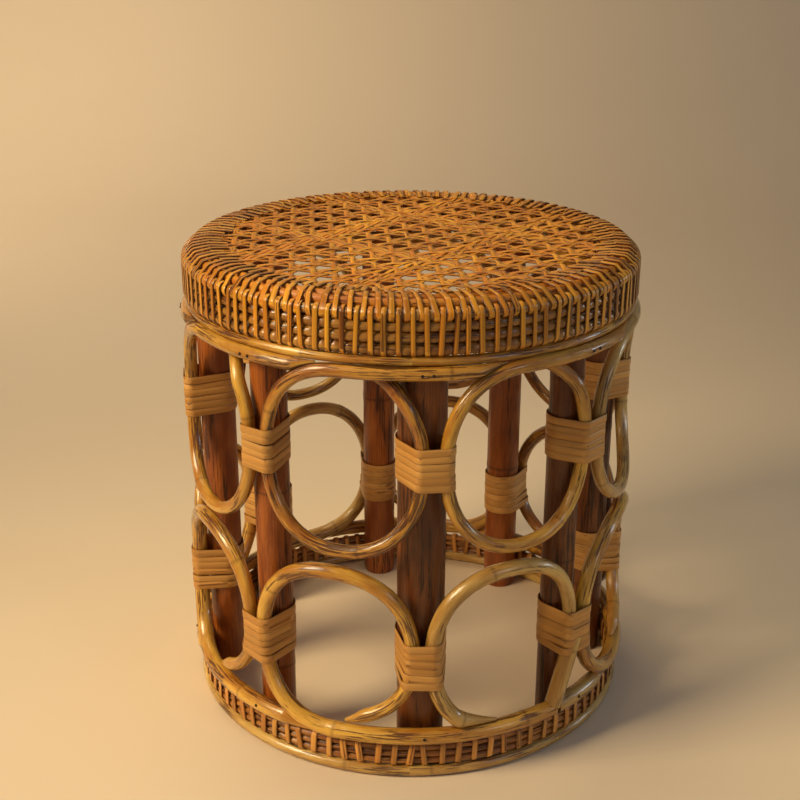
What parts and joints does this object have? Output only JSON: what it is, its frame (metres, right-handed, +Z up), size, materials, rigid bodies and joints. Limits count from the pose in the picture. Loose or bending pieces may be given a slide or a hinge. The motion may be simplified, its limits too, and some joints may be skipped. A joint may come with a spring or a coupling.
{
  "type": "round cane stool",
  "caption": "Round drum-shaped cane stool: woven open seat, wrapped rim and base band, and thick cane posts braced by two tiers of bent cane rings that are bound to them.",
  "frame": {"origin": "centre of the stool on the floor, at the middle of its overall width and depth", "axes": "+Z up through the seat; -Y towards the viewer of the picture, +X to their right"},
  "size_m": [0.3416, 0.3405, 0.3492],
  "materials": {
    "net_cane": "varnished woven cane, satin",
    "wrap_cane": "varnished flat cane, satin",
    "rod_cane": "varnished round cane with darker flecks, glossy",
    "binding_cane": "pale flat cane, satin",
    "post_cane": "dark scorched cane, varnished"
  },
  "bodies": {
    "root": {"rim_rod_lower": "rod_cane", "rim_rod_middle": "rod_cane", "rim_rod_upper": "rod_cane", "rim_rod_edge": "rod_cane", "seat_rod_outer": "rod_cane", "seat_rod_inner": "rod_cane", "base_hoop": "rod_cane", "base_rod_lower": "rod_cane", "base_rod_middle": "rod_cane", "base_rod_upper": "rod_cane", "rim_winding_1": "wrap_cane", "rim_winding_2": "wrap_cane", "rim_winding_3": "wrap_cane", "rim_winding_4": "wrap_cane", "base_winding_1": "wrap_cane", "base_winding_2": "wrap_cane", "base_winding_3": "wrap_cane", "base_winding_4": "wrap_cane", "seat_net": "net_cane", "post_1": "post_cane", "post_2": "post_cane", "post_3": "post_cane", "post_4": "post_cane", "post_5": "post_cane", "post_6": "post_cane", "post_7": "post_cane", "post_8": "post_cane", "lip_hoop": "rod_cane", "upper_ring_1": "rod_cane", "upper_ring_2": "rod_cane", "upper_ring_3": "rod_cane", "upper_ring_4": "rod_cane", "upper_ring_5": "rod_cane", "upper_ring_6": "rod_cane", "upper_ring_7": "rod_cane", "upper_ring_8": "rod_cane", "upper_binding_1": "binding_cane", "upper_binding_2": "binding_cane", "upper_binding_3": "binding_cane", "upper_binding_4": "binding_cane", "upper_binding_5": "binding_cane", "upper_binding_6": "binding_cane", "upper_binding_7": "binding_cane", "upper_binding_8": "binding_cane", "lower_ring_1": "rod_cane", "lower_ring_2": "rod_cane", "lower_ring_3": "rod_cane", "lower_ring_4": "rod_cane", "lower_ring_5": "rod_cane", "lower_ring_6": "rod_cane", "lower_ring_7": "rod_cane", "lower_ring_8": "rod_cane", "lower_binding_1": "binding_cane", "lower_binding_2": "binding_cane", "lower_binding_3": "binding_cane", "lower_binding_4": "binding_cane", "lower_binding_5": "binding_cane", "lower_binding_6": "binding_cane", "lower_binding_7": "binding_cane", "lower_binding_8": "binding_cane"}
  },
  "joints": []
}
